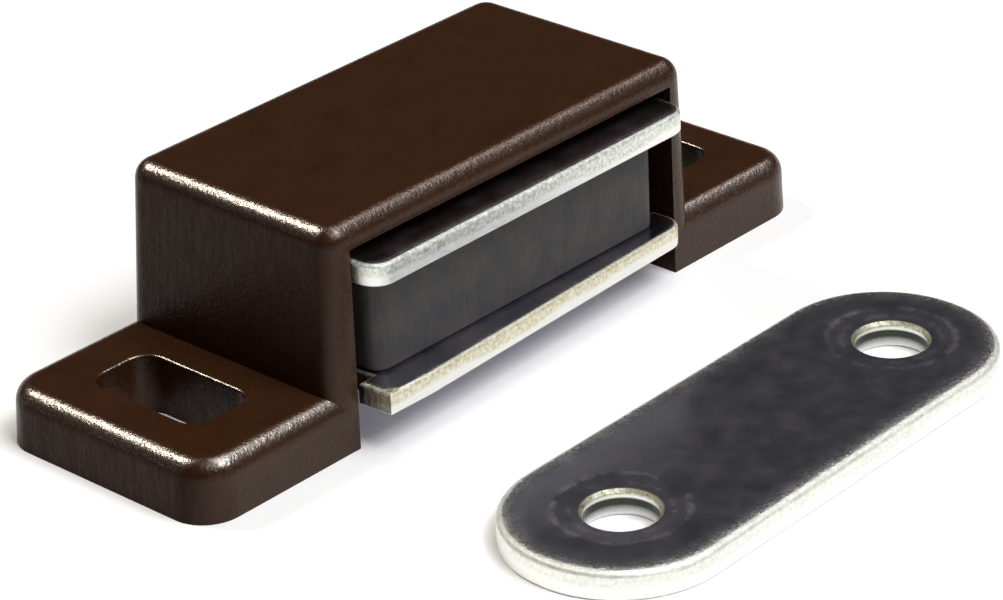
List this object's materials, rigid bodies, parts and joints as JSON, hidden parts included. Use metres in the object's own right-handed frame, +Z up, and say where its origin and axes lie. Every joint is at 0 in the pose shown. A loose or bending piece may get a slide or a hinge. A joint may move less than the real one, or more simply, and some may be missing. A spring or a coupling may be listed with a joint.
{
  "type": "magnetic cupboard catch",
  "caption": "Moulded plastic cupboard catch with slotted ears, holding a magnet between steel pole plates, and a flat steel strike plate with rounded ends.",
  "frame": {"origin": "midway between the two ear slots, on the underside that lies on the cupboard", "axes": "+X along the catch from ear to ear, +Z up out of the mounting surface, and the open mouth with the pole plates faces -Y, where the strike plate lies"},
  "size_m": [0.047, 0.0377, 0.0126],
  "materials": {
    "housing_plastic": "dark brown injection-moulded plastic with a fine leathery grain",
    "pole_plate_steel": "bright zinc-plated punched steel",
    "ferrite": "dark grey sintered ferrite, ground, unglazed",
    "strike_plate_steel": "zinc-plated punched steel with rolled upper edges"
  },
  "bodies": {
    "housing": {"housing": "housing_plastic", "strike_plate": "strike_plate_steel"},
    "magnet": {"magnet": "ferrite"},
    "upper_plate": {"upper_pole_plate": "pole_plate_steel"},
    "lower_plate": {"lower_pole_plate": "pole_plate_steel"}
  },
  "joints": [
    {"name": "magnet_float", "type": "slide", "parent": "housing", "child": "magnet", "axis": [0, 1, 0], "range_m": [-0.0004, 0.0004]},
    {"name": "upper_plate_turn", "type": "hinge", "parent": "magnet", "child": "upper_plate", "pos_m": [-0.00008, -0.005, 0.0094], "axis": [0, 0, 1], "range_deg": [-2, 2]},
    {"name": "lower_plate_turn", "type": "hinge", "parent": "magnet", "child": "lower_plate", "pos_m": [-0.00008, -0.005, 0.0036], "axis": [0, 0, 1], "range_deg": [-4.4, 0]}
  ]
}
